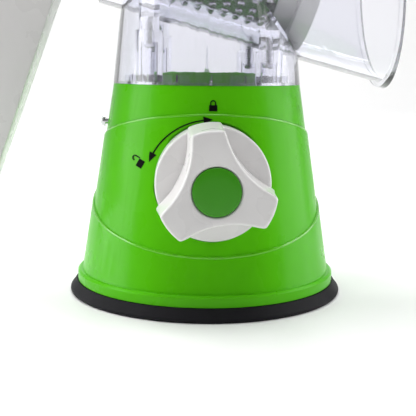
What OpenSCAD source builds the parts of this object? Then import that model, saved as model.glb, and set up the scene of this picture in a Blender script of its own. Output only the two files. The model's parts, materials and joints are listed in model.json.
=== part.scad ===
// Rotary cheese grater: a clear drum housing on a green suction base, with a hand crank,
// a steel grating drum, a feed chute with its pusher, and a knob that locks the suction foot.
// Millimetres. +Z is up, +X points to the drum's open mouth, -Y to the side with the lock knob.
// The origin is the centre of the foot's resting face.

/* [Base] */
// Outer radius of the rubber foot
foot_r = 66.4; // [58:0.2:80]
// Height of the rubber foot
foot_h = 6; // [4.5:0.5:9]
// Height of the green base, foot included
base_h = 101; // [94:1:125]
// Outer radius of the base at its top edge
base_top_r = 45.2; // [44:0.2:52]
// Outer radius of the base just above its flange, without the panel steps
base_low_r = 58.7; // [55:0.1:66]
// How far each raised panel stands out
panel_step = 0.9; // [0.4:0.1:1.5]
// Wall of the base shell
base_wall = 2.2; // [1.6:0.1:3]
// Height of the flange above the foot
flange_h = 5; // [4:0.5:9]

/* [Lock knob] */
// Height of the knob's axis
knob_z = 59.5; // [57:0.5:66]
// Radius of the knob's dial
dial_r = 25.1; // [20:0.1:28]
// Depth of the dial, back to front
dial_depth = 13.5; // [9:0.5:15]
// Radius over the grip's three lobes
grip_r = 24.2; // [18:0.1:26]
// How far the grip stands out of the dial
grip_depth = 24; // [15:0.5:30]
// Radius of the coloured cap in the grip
cap_r = 10; // [7:0.5:12]
// Angle of the first lobe at rest, anticlockwise from straight up
grip_turn = 9; // [0:1:20]
// Radius of the cam shaft
cam_shaft_r = 5; // [4:0.1:6]
// How far the suction stem travels
suction_travel = 3.5; // [2:0.25:4]
// How far the knob turns from locked to released, in degrees
knob_throw = 75; // [60:1:90]

/* [Column] */
// Outer radius of the clear column at its foot
column_r = 45.4; // [44:0.2:52]
// Rate at which the column's radius shrinks with height
column_draft = 0.1; // [0.06:0.01:0.14]
// Wall of the clear mouldings
clear_wall = 2.2; // [1.8:0.1:3]
// Thickness of the clear floor
floor_t = 3; // [2:0.5:4]
// Outer radius of the screw posts
post_r = 6.2; // [5.5:0.1:7]
// Outer radius of the screw bosses
boss_r = 4.7; // [4.2:0.1:5.4]

/* [Drum housing] */
// Height of the drum's axis above the top of the base
axis_rise = 66.2; // [62:0.2:80]
// Tilt of the drum's axis, down towards the mouth, in degrees
tilt = 13.8; // [10:0.2:16]
// Outer radius of the drum housing above the middle of the base
housing_r = 40.6; // [39:0.2:46]
// Rate at which the housing's radius grows towards the mouth
housing_draft = 0.022; // [0.02:0.002:0.05]
// Rear end of the housing, along the drum's axis
housing_rear = -44; // [-50:1:-42]
// Reach of the mouth from the middle of the base, at its lowest point
mouth_x = 86.5; // [82:0.5:105]
// Lean of the mouth's face, back from upright, in degrees
mouth_lean = 2.9; // [0:0.1:8]
// How far the mouth's lip stands out
lip = 2.2; // [1:0.1:3]

/* [Drum] */
// Radius of the grating drum
drum_r = 30; // [27:0.2:31.6]
// Thickness of the drum's sheet steel
sheet_t = 0.8; // [0.6:0.1:1.2]
// Front end of the drum's steel, along the axis
drum_front = 45.5; // [43:0.5:50]
// Length of the drum's steel
drum_len = 91; // [86:1:92]
// Width of the ring at the drum's open end
ring_w = 8.7; // [6:0.1:10]
// Radial gap between the drum's ring and the housing
ring_gap = 1.6; // [0.5:0.1:2]
// Radius of the grating holes
hole_r = 2.6; // [2:0.1:3]
// Number of grating holes around the drum
holes_round = 12; // [8:1:14]
// Number of rows of grating holes
hole_rows = 8; // [5:1:9]

/* [Feed chute] */
// Length of the chute's outside, along X
chute_x = 60; // [50:1:64]
// Width of the chute's outside, along Y
chute_y = 58; // [50:1:64]
// Corner radius of the chute's outside
chute_corner = 12; // [8:0.5:16]
// Height of the chute's rim above the drum's axis
chute_rise = 88.8; // [76:0.2:112]
// Offset of the chute from the middle of the base
chute_offset = 2; // [0:1:6]
// Gap between the pusher and the chute
pusher_gap = 0.7; // [0.4:0.1:1.2]
// Height of the pusher's lower face above the drum's axis
pusher_rise = 51.8; // [48:0.2:62]
// Height of the pusher's grip
pusher_grip_h = 24; // [16:1:30]

/* [Crank] */
// Distance from the drum's axis to the crank's handle
crank_r = 138; // [120:1:142]
// Thickness of the crank arm at its hub
arm_hub_t = 28; // [20:0.5:30]
// Thickness of the crank arm at its handle
arm_end_t = 15; // [12:0.5:20]
// Radius of the arm's hub end
arm_hub_r = 15; // [13:0.5:18]
// Radius of the arm's handle end
arm_end_r = 9; // [8:0.5:12]
// Radius of the drive shaft's journal
journal_r = 6; // [5:0.1:7]
// Length of the crank handle
handle_len = 52; // [40:1:65]
// Radius of the crank handle
handle_r = 14; // [12:0.5:18]

/* [Hidden] */
$fn = 96;
eps = 0.01;
fit = 0.05;      // radial clearance of a shaft that turns in its bore
seat = 0.1;      // gap between parts that only locate each other
big = 400;
small_fn = 32;

// base
base_z0 = foot_h;
flange_z = foot_h + flange_h;
base_taper = (base_low_r - base_top_r) / (base_h - flange_z);
function base_r(z) = base_top_r + (base_h - z) * base_taper;
flange_r = base_r(flange_z) + 2 * panel_step + 2.3;
upper_line_z = base_h - 25.4;   // the upper panel edge, at the side of the base
upper_line_rise = 15.4;
lower_line_z = 45.4;   // the lower panel edge, at the side of the base
lower_line_rise = 17.4;
deck_t = 2.6;
deck_boss_r = 24;
deck_boss_h = 6;

// lock knob
dial_gap = 0.9;
pocket_r = dial_r + dial_gap;
pocket_wall = 2;
dial_face_y = -(base_r(knob_z) + panel_step + 8);
dial_back_y = dial_face_y + dial_depth;
pocket_floor_y = dial_back_y + 1;
dial_skirt = 1.8;
dial_web = 2.5;
grip_face_y = dial_face_y - grip_depth;
lobe_cut_r = 34;
lobe_waist = 13.7;
cap_t = 2;
cap_proud = 0.6;
knob_screw_r = 1.5;
knob_screw_len = 16;
knob_screw_head_r = 3;
cam_r = 10;
cam_offset = suction_travel / (2 * sin(knob_throw / 2));
cam_rest = 180 - knob_throw / 2;   // direction of the cam's wide side when locked
cam_gap = 0.25;                    // gap between the cam and the stem's slot, above and below
cam_t = 8;
cam_shaft_back = base_r(knob_z) - base_wall - 3;
rear_boss_len = 10;
shaft_wall = 3;

// suction foot
foot_ring_in = 54;
membrane_t = 1.8;
membrane_rise = suction_travel + 0.7;
stem_r = 4;
stem_disc_r = 14;
stem_disc_t = 2.6;
plate_z = flange_z + 1.5;
plate_t = 2.4;
guide_h = 14;
yoke_w = 2 * (cam_r + cam_offset) + 3;
yoke_half_h = cam_r + cam_gap;
yoke_z = knob_z + cam_offset * sin(cam_rest);   // middle of the slot when locked
yoke_bar = 3.4;
yoke_t = cam_t + 2;
plate_screw_ring_r = 46;
plate_boss_r = 4;
plate_boss_h = 12;

// side screw
side_screw_z = base_h - 18.5;
side_screw_head_r = 2.6;
side_screw_shank_r = 1.5;
side_screw_len = 9;
side_screw_stand = 1.6;

// clear column and its screws
floor_z = base_h;
axis_z = base_h + axis_rise;
chute_top = axis_z + chute_rise;
pusher_bottom = axis_z + pusher_rise;
column_r_in = column_r - clear_wall;
post_places = [[-27.7, -19.6], [27.7, -19.6], [-23, 25], [23, 25]];
split_z = base_h + 20.5;
split_slope = 0.16;
post_roof = 6;
screw_r = 1.5;
screw_len = 12;
screw_head_r = 2.9;
screw_head_h = 2.2;
screw_gap = 0.4;
deck_screw_places = [[0, -34], [34, 6], [-34, 6]];
deck_screw_len = 8;
function column_out(z) = column_r - (z - floor_z) * column_draft;
function split_at(x) = split_z - split_slope * x;

// drum housing, measured along its axis
function housing_out(s) = housing_r + housing_draft * s;
function housing_in(s) = housing_out(s) - clear_wall;
housing_front = 112;
mouth_low_z = axis_z - (mouth_x - 12) * tan(tilt) - housing_r;
lip_t = 2.6;
rear_cap_r = housing_out(housing_rear) - 1.4;
rear_cap_len = 13.5;
rear_spigot_len = 4;
rear_cap_end = housing_rear - rear_cap_len;
rear_wall = 3;
bush_r = journal_r + 2;
bush_len = 12;
bush_flange_r = bush_r + 2.5;
bush_flange_t = 1.2;
bearing_boss_r = bush_r + 3;
bearing_boss_len = 10;

// drum
drum_back = drum_front - drum_len;
ring_out_r = housing_in(drum_front) - ring_gap;
end_t = 3;
hub_r = 11;
hub_len = 16;
hex_r = 5.2;     // corner radius of the drive shaft's hexagon
hex_gap = 0.12;
hex_len = 17;
hole_margin = 12;
hole_pitch = (drum_len - 2 * hole_margin) / (hole_rows - 1);
chamber_throat_r = drum_r + 3.4;

// feed chute and pusher
rim_w = 4;
rim_t = 3;
pusher_wall = 2.2;
pusher_flange_t = 2.6;
pusher_x = chute_x - 2 * (clear_wall + pusher_gap);
pusher_y = chute_y - 2 * (clear_wall + pusher_gap);
pusher_corner = chute_corner - clear_wall - pusher_gap;
grip_x = 40;
grip_y = 34;

// crank
arm_face = rear_cap_end - 2.5;       // the arm's inner face at the hub, along the axis
arm_back = arm_face - arm_hub_t;
handle_gap = 1;
handle_pin_r = 4;
handle_back = arm_back - handle_gap - handle_len;
handle_cap_t = 3;
shaft_screw_r = 2;

// Places its children on the drum's axis, s along it; local +X then points down.
module on_axis(s = 0) translate([0, 0, axis_z]) rotate([0, 90 + tilt, 0]) translate([0, 0, s]) children();

// Places its children on the knob's axis, with local +Z pointing out of the front at y.
module on_knob(y) translate([0, y, knob_z]) rotate([90, 0, 0]) children();

// Everything under a plane through [0, 0, z] that rises by rise degrees towards the front.
module below_plane(z, rise) translate([0, 0, z]) rotate([-rise, 0, 0]) translate([-big / 2, -big / 2, -big]) cube(big);

module ring(r_out, r_in, h) difference() {
    cylinder(h = h, r = r_out);
    translate([0, 0, -1]) cylinder(h = h + 2, r = r_in);
}

module pan_screw(r, len, head_r, head_h) {
    translate([0, 0, -head_h / 4]) cylinder(h = len + head_h / 4, r = r);
    translate([0, 0, -head_h]) difference() {
        cylinder(h = head_h, r = head_r);
        for (a = [0, 90]) rotate(a) translate([-head_r * 0.7, -0.4, -1]) cube([head_r * 1.4, 0.8, 2]);
    }
}

module rounded_plate(x, y, corner) {
    square([x - 2 * corner, y], center = true);
    square([x, y - 2 * corner], center = true);
    for (i = [-1, 1], j = [-1, 1])
        translate([i * (x / 2 - corner), j * (y / 2 - corner)]) circle(r = corner);
}

module base_cone(extra, low = base_z0, high = base_h)
    translate([0, 0, low]) cylinder(h = high - low, r1 = base_r(low) + extra, r2 = base_r(high) + extra);

module base_outside() {
    base_cone(0);
    intersection() { base_cone(panel_step); below_plane(upper_line_z, upper_line_rise); }
    intersection() { base_cone(2 * panel_step); below_plane(lower_line_z, -lower_line_rise); }
    rotate_extrude() polygon([[0, base_z0], [flange_r, base_z0], [flange_r, flange_z - 1],
                              [flange_r - 1, flange_z], [0, flange_z]]);
}

module base_shell() color("limegreen") difference() {
    union() {
        difference() {
            base_outside();
            translate([0, 0, base_z0 - eps])
                cylinder(h = base_h - deck_t - base_z0, r1 = base_r(base_z0) - base_wall,
                         r2 = base_r(base_h - deck_t) - base_wall);
        }
        translate([0, 0, base_h - eps]) cylinder(h = deck_boss_h, r = deck_boss_r);
        intersection() {
            on_knob(pocket_floor_y + pocket_wall) cylinder(h = big, r = pocket_r + pocket_wall);
            base_cone(-panel_step / 2);
        }
        on_knob(pocket_floor_y + pocket_wall + 6) cylinder(h = 7, r = cam_shaft_r + shaft_wall);
        intersection() {
            on_knob(cam_shaft_back + 3) cylinder(h = rear_boss_len, r = cam_shaft_r + shaft_wall);
            base_cone(-panel_step / 2);
        }
        for (a = [45:90:315]) rotate(a) intersection() {
            translate([plate_screw_ring_r, 0, plate_z + plate_t]) {
                cylinder(h = plate_boss_h, r = plate_boss_r);
                translate([0, -1, 0]) cube([base_low_r, 2, plate_boss_h]);
            }
            base_cone(-panel_step / 2);
        }
        intersection() {
            translate([-base_low_r, 0, side_screw_z]) rotate([0, 90, 0]) cylinder(h = base_low_r - 36, r = 4);
            base_cone(-panel_step / 2);
        }
    }
    on_knob(pocket_floor_y) cylinder(h = big, r = pocket_r);
    on_knob(cam_shaft_back) cylinder(h = big, r = cam_shaft_r + fit);
    for (a = [45:90:315]) rotate(a) translate([plate_screw_ring_r, 0, plate_z]) cylinder(h = 12, r = 1.3);
    translate([-base_low_r - 5, 0, side_screw_z]) rotate([0, 90, 0])
        cylinder(h = base_low_r + 5 - 38, r = side_screw_shank_r);
    for (p = deck_screw_places) translate([p[0], p[1], 0]) cylinder(h = base_h + 1, r = screw_r + 0.2);
}

module suction_foot() color("#1c1b20") rotate_extrude() difference() {
    union() {
        polygon([[foot_ring_in, 0], [foot_r - 2.4, 0], [foot_r, 2.4], [flange_r + 0.6, foot_h],
                 [foot_ring_in + 1.5, foot_h], [foot_ring_in, foot_h - 1.2]]);
        translate([foot_r - 2.4, 2.4]) circle(r = 2.4, $fn = small_fn);
    }
    translate([0, -big]) square(big);
}

module suction_membrane() color("#1c1b20") rotate_extrude() polygon([
    [0, membrane_rise], [stem_disc_r, membrane_rise], [foot_ring_in - seat, 1],
    [foot_ring_in - seat, 1 + membrane_t], [stem_disc_r, membrane_rise + membrane_t], [0, membrane_rise + membrane_t]]);

module stem_disc() color("gainsboro") translate([0, 0, membrane_rise + membrane_t + seat]) difference() {
    cylinder(h = stem_disc_t, r = stem_disc_r);
    translate([0, 0, stem_disc_t - 1]) cylinder(h = 2, r = stem_r);
}

module suction_stem() color("gainsboro") {
    low = membrane_rise + membrane_t + seat + stem_disc_t - 1;
    yoke_low = yoke_z - yoke_half_h - yoke_bar;
    translate([0, 0, low]) cylinder(h = yoke_low - low + eps, r = stem_r);
    translate([0, 0, yoke_z]) rotate([90, 0, 0]) translate([0, 0, -yoke_t / 2]) linear_extrude(yoke_t) difference() {
        square([yoke_w + 2 * yoke_bar, 2 * (yoke_half_h + yoke_bar)], center = true);
        square([yoke_w, 2 * yoke_half_h], center = true);
    }
}

module base_plate() color("gainsboro") difference() {
    union() {
        translate([0, 0, plate_z]) cylinder(h = plate_t, r = base_r(plate_z + plate_t) - base_wall - 0.6);
        translate([0, 0, plate_z]) cylinder(h = guide_h, r = stem_r + 2.4);
        for (a = [0:60:300]) rotate(a) translate([stem_r + 2, -0.9, plate_z]) cube([44 - stem_r, 1.8, plate_t + 4]);
    }
    translate([0, 0, plate_z - 1]) cylinder(h = guide_h + 2, r = stem_r + fit);
    for (a = [45:90:315]) rotate(a) translate([plate_screw_ring_r, 0, plate_z - 1])
        cylinder(h = plate_t + 2, r = 1.7);
}

module plate_screws() color("silver") for (a = [45:90:315]) rotate(a)
    translate([plate_screw_ring_r, 0, plate_z]) pan_screw(1.3, 11, 2.8, 1.8);

module cam_shaft() color("silver") difference() {
    on_knob(cam_shaft_back - 1) cylinder(h = cam_shaft_back - 1 - dial_face_y - dial_web, r = cam_shaft_r);
    on_knob(dial_face_y + knob_screw_len + 2) cylinder(h = big, r = knob_screw_r);
}

// The cam is a thick ring off the shaft's centre, which lifts the stem's slot as the knob turns.
module lift_cam() color("gainsboro") on_knob(cam_t / 2) difference() {
    union() {
        rotate(cam_rest) translate([cam_offset, 0, 0]) cylinder(h = cam_t, r = cam_r);
    }
    translate([0, 0, -1]) cylinder(h = cam_t + 2, r = cam_shaft_r + seat);
}

module grip_outline() difference() {
    circle(r = grip_r);
    for (a = [0:120:240]) rotate(grip_turn + 90 + 60 + a) translate([lobe_waist + lobe_cut_r, 0]) circle(r = lobe_cut_r);
}

module lock_knob() color("whitesmoke") difference() {
    union() {
        on_knob(dial_back_y) cylinder(h = dial_depth, r = dial_r);
        on_knob(dial_face_y + eps) linear_extrude(grip_depth) grip_outline();
    }
    on_knob(dial_back_y + 1) difference() {
        cylinder(h = dial_depth + 1 - dial_web, r = dial_r - dial_skirt);
        cylinder(h = big, r = cam_shaft_r + shaft_wall);
    }
    on_knob(dial_back_y + 1) cylinder(h = dial_depth + 1 - dial_web, r = cam_shaft_r + seat);
    on_knob(dial_face_y + 5) cylinder(h = big, r = knob_screw_r + 0.2);
    on_knob(dial_face_y - 1) cylinder(h = big, r = knob_screw_head_r + 0.4);
    on_knob(grip_face_y + cap_t) cylinder(h = big, r = cap_r + seat);
}

module knob_cap() color("forestgreen") on_knob(grip_face_y + cap_t - seat) cylinder(h = cap_t + cap_proud, r = cap_r);

module knob_screw() color("silver") on_knob(dial_face_y - 1 - eps) mirror([0, 0, 1])
    pan_screw(knob_screw_r, knob_screw_len, knob_screw_head_r, 2);

module side_screw() color("silver") {
    out = base_r(side_screw_z) + side_screw_stand;
    translate([-out, 0, side_screw_z]) rotate([0, 90, 0]) {
        cylinder(h = side_screw_len, r = side_screw_shank_r);
        translate([0, 0, -2]) difference() {
            cylinder(h = 2 + eps, r = side_screw_head_r);
            translate([-0.4, -side_screw_head_r, -1]) cube([0.8, 2 * side_screw_head_r, 1.8]);
        }
    }
}

module clear_floor() color([0.9, 0.92, 0.96, 0.4]) difference() {
    union() {
        translate([0, 0, floor_z + seat]) ring(column_out(floor_z + floor_t) - clear_wall - seat,
                                                 deck_boss_r + 0.5, floor_t - seat);
        for (p = post_places) translate([p[0], p[1], floor_z + seat])
            cylinder(h = split_at(p[0]) - floor_z - seat, r = post_r);
    }
    for (p = post_places) translate([p[0], p[1], 0]) {
        cylinder(h = split_at(p[0]) - post_roof, r = screw_head_r + screw_gap);
        cylinder(h = big, r = screw_r + screw_gap);
    }
    for (p = deck_screw_places) translate([p[0], p[1], 0]) cylinder(h = floor_z + floor_t + 1, r = screw_r);
}

module housing_screws() color("silver") for (p = post_places)
    translate([p[0], p[1], split_at(p[0]) - post_roof - eps]) pan_screw(screw_r, screw_len, screw_head_r, screw_head_h);

module deck_screws() color("silver") for (p = deck_screw_places)
    translate([p[0], p[1], floor_z - deck_t - eps]) pan_screw(screw_r, deck_t + floor_t, screw_head_r, screw_head_h);

module housing_cone(low, high, extra = 0)
    on_axis(low) cylinder(h = high - low, r1 = housing_out(low) + extra, r2 = housing_out(high) + extra);

// The space inside the housing
module housing_hollow() on_axis(housing_rear - 1)
    cylinder(h = housing_front - housing_rear + 1, r1 = housing_in(housing_rear - 1), r2 = housing_in(housing_front));

module clear_column() color([0.9, 0.92, 0.96, 0.4]) difference() {
    union() {
        difference() {
            translate([0, 0, floor_z]) cylinder(h = axis_z - floor_z, r1 = column_r, r2 = column_out(axis_z));
            translate([0, 0, floor_z - 1]) cylinder(h = axis_z - floor_z + 2, r1 = column_r_in + column_draft,
                                                    r2 = column_out(axis_z) - clear_wall - column_draft);
        }
    }
    housing_cone(-80, housing_front, 0.02);
}

// Keeps what lies behind the mouth's leaning face.
module behind_mouth(back = 0) translate([mouth_x - back, 0, mouth_low_z]) rotate([0, -mouth_lean, 0])
    translate([-big, -big / 2, -big / 2]) cube(big);

module chute_hole(extra) translate([chute_offset, 0, axis_z]) linear_extrude(big)
    rounded_plate(chute_x + extra, chute_y + extra, chute_corner + extra / 2);

module drum_housing() color([0.9, 0.92, 0.96, 0.4]) difference() {
    union() {
        intersection() { housing_cone(housing_rear, housing_front); behind_mouth(); }
        intersection() {
            housing_cone(housing_rear, housing_front, lip);
            behind_mouth();
            difference() { translate([0, -big / 2, 0]) cube(big); behind_mouth(lip_t); }
        }
        for (p = post_places) translate([p[0], p[1], split_at(p[0]) + seat])
            cylinder(h = axis_z - split_at(p[0]) - 10, r = boss_r);
    }
    housing_hollow();
    chute_hole(0.02);
    for (p = post_places) translate([p[0], p[1], split_at(p[0]) - 1])
        cylinder(h = screw_len - post_roof + 1.2, r = screw_r);
}

module feed_chute() color([0.9, 0.92, 0.96, 0.4]) difference() {
    union() {
        translate([chute_offset, 0, axis_z]) linear_extrude(chute_top - axis_z) rounded_plate(chute_x, chute_y, chute_corner);
        translate([chute_offset, 0, chute_top - rim_t]) linear_extrude(rim_t)
            rounded_plate(chute_x + 2 * rim_w, chute_y + 2 * rim_w, chute_corner + rim_w);
    }
    translate([chute_offset, 0, axis_z - 1]) linear_extrude(big)
        rounded_plate(chute_x - 2 * clear_wall, chute_y - 2 * clear_wall, chute_corner - clear_wall);
    on_axis(-big / 2) cylinder(h = big, r = chamber_throat_r);
    translate([0, 0, axis_z - big + 8]) translate([-big / 2, -big / 2, 0]) cube(big);
}

module rear_cap() color("whitesmoke") on_axis(rear_cap_end) difference() {
    union() {
        cylinder(h = rear_cap_len - seat, r = rear_cap_r);
        translate([0, 0, rear_cap_len - 1]) cylinder(h = rear_spigot_len + 1, r = housing_in(housing_rear) - seat);
    }
    translate([0, 0, rear_wall]) difference() {
        cylinder(h = big, r = housing_in(housing_rear) - seat - 2.2);
        cylinder(h = bearing_boss_len - rear_wall, r = bearing_boss_r);
    }
    translate([0, 0, -1]) cylinder(h = big, r = bush_r);
}

module shaft_bush() color("dimgray") on_axis(rear_cap_end - bush_flange_t) difference() {
    union() {
        cylinder(h = bush_len, r = bush_r);
        cylinder(h = bush_flange_t, r = bush_flange_r);
    }
    translate([0, 0, -1]) cylinder(h = bush_len + 2, r = journal_r + fit);
}

module drive_shaft() color("silver") difference() {
    union() {
        on_axis(arm_face - 16) cylinder(h = drum_back - 1 - arm_face + 16, r = journal_r);
        on_axis(drum_back - 1 - eps) cylinder(h = hex_len, r = hex_r, $fn = 6);
    }
    on_axis(arm_face - 17) cylinder(h = 13, r = shaft_screw_r);
}

// The arm is widest and thickest at its hub; local +X runs down it.
module arm_body() hull() {
    translate([0, 0, 0]) cylinder(h = arm_hub_t, r = arm_hub_r, $fn = small_fn * 2);
    translate([crank_r, 0, 0]) cylinder(h = arm_end_t, r = arm_end_r, $fn = small_fn * 2);
}

module crank_arm() color("whitesmoke") difference() {
    on_axis(arm_back) arm_body();
    on_axis(arm_face - 16) cylinder(h = big, r = journal_r + seat);
    on_axis(arm_back - 1) cylinder(h = big, r = shaft_screw_r + 0.3);
    on_axis(arm_back - 1) cylinder(h = 7, r = 9);
    on_axis(arm_back - 1) translate([crank_r, 0, 0]) cylinder(h = big, r = handle_pin_r);
}

module hub_screw() color("silver") on_axis(arm_back + 6) {
    pan_screw(shaft_screw_r, 14, 4, 2.2);
}

module hub_cap() color("forestgreen") on_axis(arm_back - 0.6) cylinder(h = 3, r = 9 - seat);

module handle_pin() color("silver") on_axis(handle_back + handle_cap_t + 3) translate([crank_r, 0, 0]) {
    cylinder(h = arm_back + arm_end_t - handle_back - handle_cap_t - 3, r = handle_pin_r);
    cylinder(h = 2, r = handle_pin_r + 3);
}

module crank_handle() color("whitesmoke") on_axis(handle_back) translate([crank_r, 0, 0]) difference() {
    rotate_extrude() polygon(concat(
        [[0, 0], [handle_r - 2, 0]],
        [for (i = [0:12]) let (t = i / 12)
            [handle_r - 2 + 2 * sin(90 * min(1, t * 4)) - 3.2 * sin(180 * t) * t, 1 + t * (handle_len - 2)]],
        [[handle_r - 3.2, handle_len], [0, handle_len]]));
    translate([0, 0, -1]) cylinder(h = handle_len + 2, r = handle_pin_r + fit);
    translate([0, 0, -1]) cylinder(h = 6.5 + handle_cap_t, r = handle_pin_r + 3.4);
    translate([0, 0, -1]) cylinder(h = 1 + handle_cap_t, r = cap_r - 0.5);
}

module handle_cap() color("forestgreen") on_axis(handle_back - 0.6) translate([crank_r, 0, 0])
    cylinder(h = handle_cap_t, r = cap_r - 0.5 - seat);

module drum_shell() color("silver") difference() {
    on_axis(drum_back) ring(drum_r, drum_r - sheet_t, drum_len);
    for (row = [0:hole_rows - 1], a = [0:holes_round - 1])
        on_axis(drum_back + hole_margin + row * hole_pitch) rotate(360 / holes_round * (a + (row % 2) / 2))
            rotate([0, 90, 0]) translate([0, 0, drum_r - 4]) cylinder(h = 6, r = hole_r);
}

module drum_ring() color("whitesmoke") difference() {
    on_axis(drum_front - ring_w) union() {
        cylinder(h = ring_w, r = drum_r + 1.6);
        translate([0, 0, ring_w - eps]) cylinder(h = ring_w, r = ring_out_r);
    }
    on_axis(drum_front - ring_w - 1) cylinder(h = ring_w + 1, r = drum_r + fit);
    on_axis(drum_front - 1) cylinder(h = ring_w + 2, r = drum_r - sheet_t);
}

module drum_end() color("forestgreen") on_axis(drum_back) difference() {
    union() {
        translate([0, 0, seat]) cylinder(h = end_t, r = drum_r - sheet_t - fit);
        translate([0, 0, seat]) cylinder(h = hub_len, r = hub_r);
        for (a = [0:60:300]) rotate(a) translate([hub_r - 1, -1, seat]) cube([drum_r - hub_r - 2, 2, end_t + 4]);
    }
    translate([0, 0, -1]) cylinder(h = hub_len + 2, r = hex_r + hex_gap, $fn = 6);
}

module pusher_body() color("white", 0.8) difference() {
    union() {
        translate([chute_offset, 0, pusher_bottom]) linear_extrude(chute_top + seat - pusher_bottom)
            rounded_plate(pusher_x, pusher_y, pusher_corner);
        translate([chute_offset, 0, chute_top + seat]) linear_extrude(pusher_flange_t)
            rounded_plate(chute_x + 2 * rim_w, chute_y + 2 * rim_w, chute_corner + rim_w);
    }
    translate([chute_offset, 0, pusher_bottom + pusher_wall]) linear_extrude(big)
        rounded_plate(pusher_x - 2 * pusher_wall, pusher_y - 2 * pusher_wall, pusher_corner - pusher_wall);
}

module pusher_grip() color("forestgreen") translate([chute_offset, 0, chute_top + seat + pusher_flange_t]) difference() {
    union() {
        linear_extrude(3) rounded_plate(chute_x + 2 * rim_w - 2, chute_y + 2 * rim_w - 2, chute_corner + rim_w - 1);
        linear_extrude(pusher_grip_h) rounded_plate(grip_x, grip_y, 12);
    }
    translate([0, 0, -1]) linear_extrude(pusher_grip_h - 2) rounded_plate(grip_x - 5, grip_y - 5, 9.5);
}

suction_foot();
suction_membrane();
base_shell();
base_plate();
plate_screws();
suction_stem();
stem_disc();
cam_shaft();
lift_cam();
lock_knob();
knob_cap();
knob_screw();
side_screw();
clear_floor();
housing_screws();
deck_screws();
clear_column();
drum_housing();
feed_chute();
rear_cap();
shaft_bush();
drive_shaft();
crank_arm();
hub_screw();
hub_cap();
handle_pin();
crank_handle();
handle_cap();
drum_shell();
drum_ring();
drum_end();
pusher_body();
pusher_grip();
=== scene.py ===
# %% [markdown]
# # A rotary cheese grater
# A clear drum housing stands on a green suction base. A hand crank turns a steel drum,
# a pusher feeds cheese down a chute, and a three-lobed knob lifts the suction foot.
# The solid parts come in as a fixed frame. Each cell below makes one piece or one
# finish, in metres, in that same frame: +Z up, +X to the drum's mouth, -Y to the knob.

# %% Load the frame
import json
import math

import bmesh
import bpy
from mathutils import Matrix, Vector


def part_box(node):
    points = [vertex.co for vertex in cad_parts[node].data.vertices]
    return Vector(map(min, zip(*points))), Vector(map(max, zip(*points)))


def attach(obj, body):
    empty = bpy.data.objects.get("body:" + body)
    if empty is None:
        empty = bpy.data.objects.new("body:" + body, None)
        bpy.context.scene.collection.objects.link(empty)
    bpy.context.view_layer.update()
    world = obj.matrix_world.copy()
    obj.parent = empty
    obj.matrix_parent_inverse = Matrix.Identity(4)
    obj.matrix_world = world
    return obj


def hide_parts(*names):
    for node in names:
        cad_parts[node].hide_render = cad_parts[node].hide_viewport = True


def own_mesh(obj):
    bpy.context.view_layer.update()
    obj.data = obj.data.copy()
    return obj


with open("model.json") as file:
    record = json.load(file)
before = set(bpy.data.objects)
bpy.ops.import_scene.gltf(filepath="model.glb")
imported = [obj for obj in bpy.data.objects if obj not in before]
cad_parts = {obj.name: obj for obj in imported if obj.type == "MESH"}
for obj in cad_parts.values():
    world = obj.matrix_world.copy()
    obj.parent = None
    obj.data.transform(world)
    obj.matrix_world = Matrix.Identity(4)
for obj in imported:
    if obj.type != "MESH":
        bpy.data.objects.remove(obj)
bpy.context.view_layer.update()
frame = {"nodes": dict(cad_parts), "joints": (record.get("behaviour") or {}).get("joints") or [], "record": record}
nodes = frame["nodes"]
joints = {j["name"]: j for j in frame["joints"]}
MM = 0.001

# %% [markdown]
# ## Camera
# The view is from the knob's side, a little above the base and looking slightly down,
# so the foot shows as a shallow ellipse while the drum housing is seen nearly edge-on.
# The direction is worked out from two angles, which are easier to judge than a rotation.

# %% Camera
CAM_DISTANCE, CAM_HEIGHT = 0.4285, 0.1101
CAM_TURN, CAM_PITCH, CAM_ROLL = math.radians(3.12), math.radians(6.64), math.radians(0.6)
LENS_MM, SENSOR_MM = 75.47, 36
SHIFT_X, SHIFT_Y = 0.0051, -0.10

lens_data = bpy.data.cameras.new("studio_camera")
lens_data.lens = LENS_MM
lens_data.sensor_width = SENSOR_MM
lens_data.shift_x, lens_data.shift_y = SHIFT_X, SHIFT_Y
camera = bpy.data.objects.new("studio_camera", lens_data)
bpy.context.scene.collection.objects.link(camera)
camera.location = (-CAM_DISTANCE * math.sin(CAM_TURN), -CAM_DISTANCE * math.cos(CAM_TURN), CAM_HEIGHT)
ahead = Vector((math.sin(CAM_TURN) * math.cos(CAM_PITCH),
                math.cos(CAM_TURN) * math.cos(CAM_PITCH),
                -math.sin(CAM_PITCH)))
facing = ahead.to_track_quat("-Z", "Y").to_matrix() @ Matrix.Rotation(CAM_ROLL, 3, "Z")
camera.rotation_mode = "QUATERNION"
camera.rotation_quaternion = facing.to_quaternion()
bpy.context.scene.camera = camera
print("camera at", [round(c, 3) for c in camera.location])

# %% [markdown]
# ## Light
# Gloss plastic shows its shape through what it reflects, so the light comes from large
# soft panels: one on each side for long highlights down the cone, one overhead, and a
# weak one behind. A fifth lights the wall, so that clear plastic has a pale ground.

# %% Light panels
ROOM_LIGHT = 0.16


def panel(name, place, look_at, width, height, power):
    """A rectangular soft light aimed at a point."""
    data = bpy.data.lights.new(name, "AREA")
    data.shape, data.size, data.size_y, data.energy = "RECTANGLE", width, height, power
    lamp = bpy.data.objects.new(name, data)
    bpy.context.scene.collection.objects.link(lamp)
    lamp.location = place
    lamp.rotation_euler = (Vector(look_at) - Vector(place)).to_track_quat("-Z", "Y").to_euler()


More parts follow.
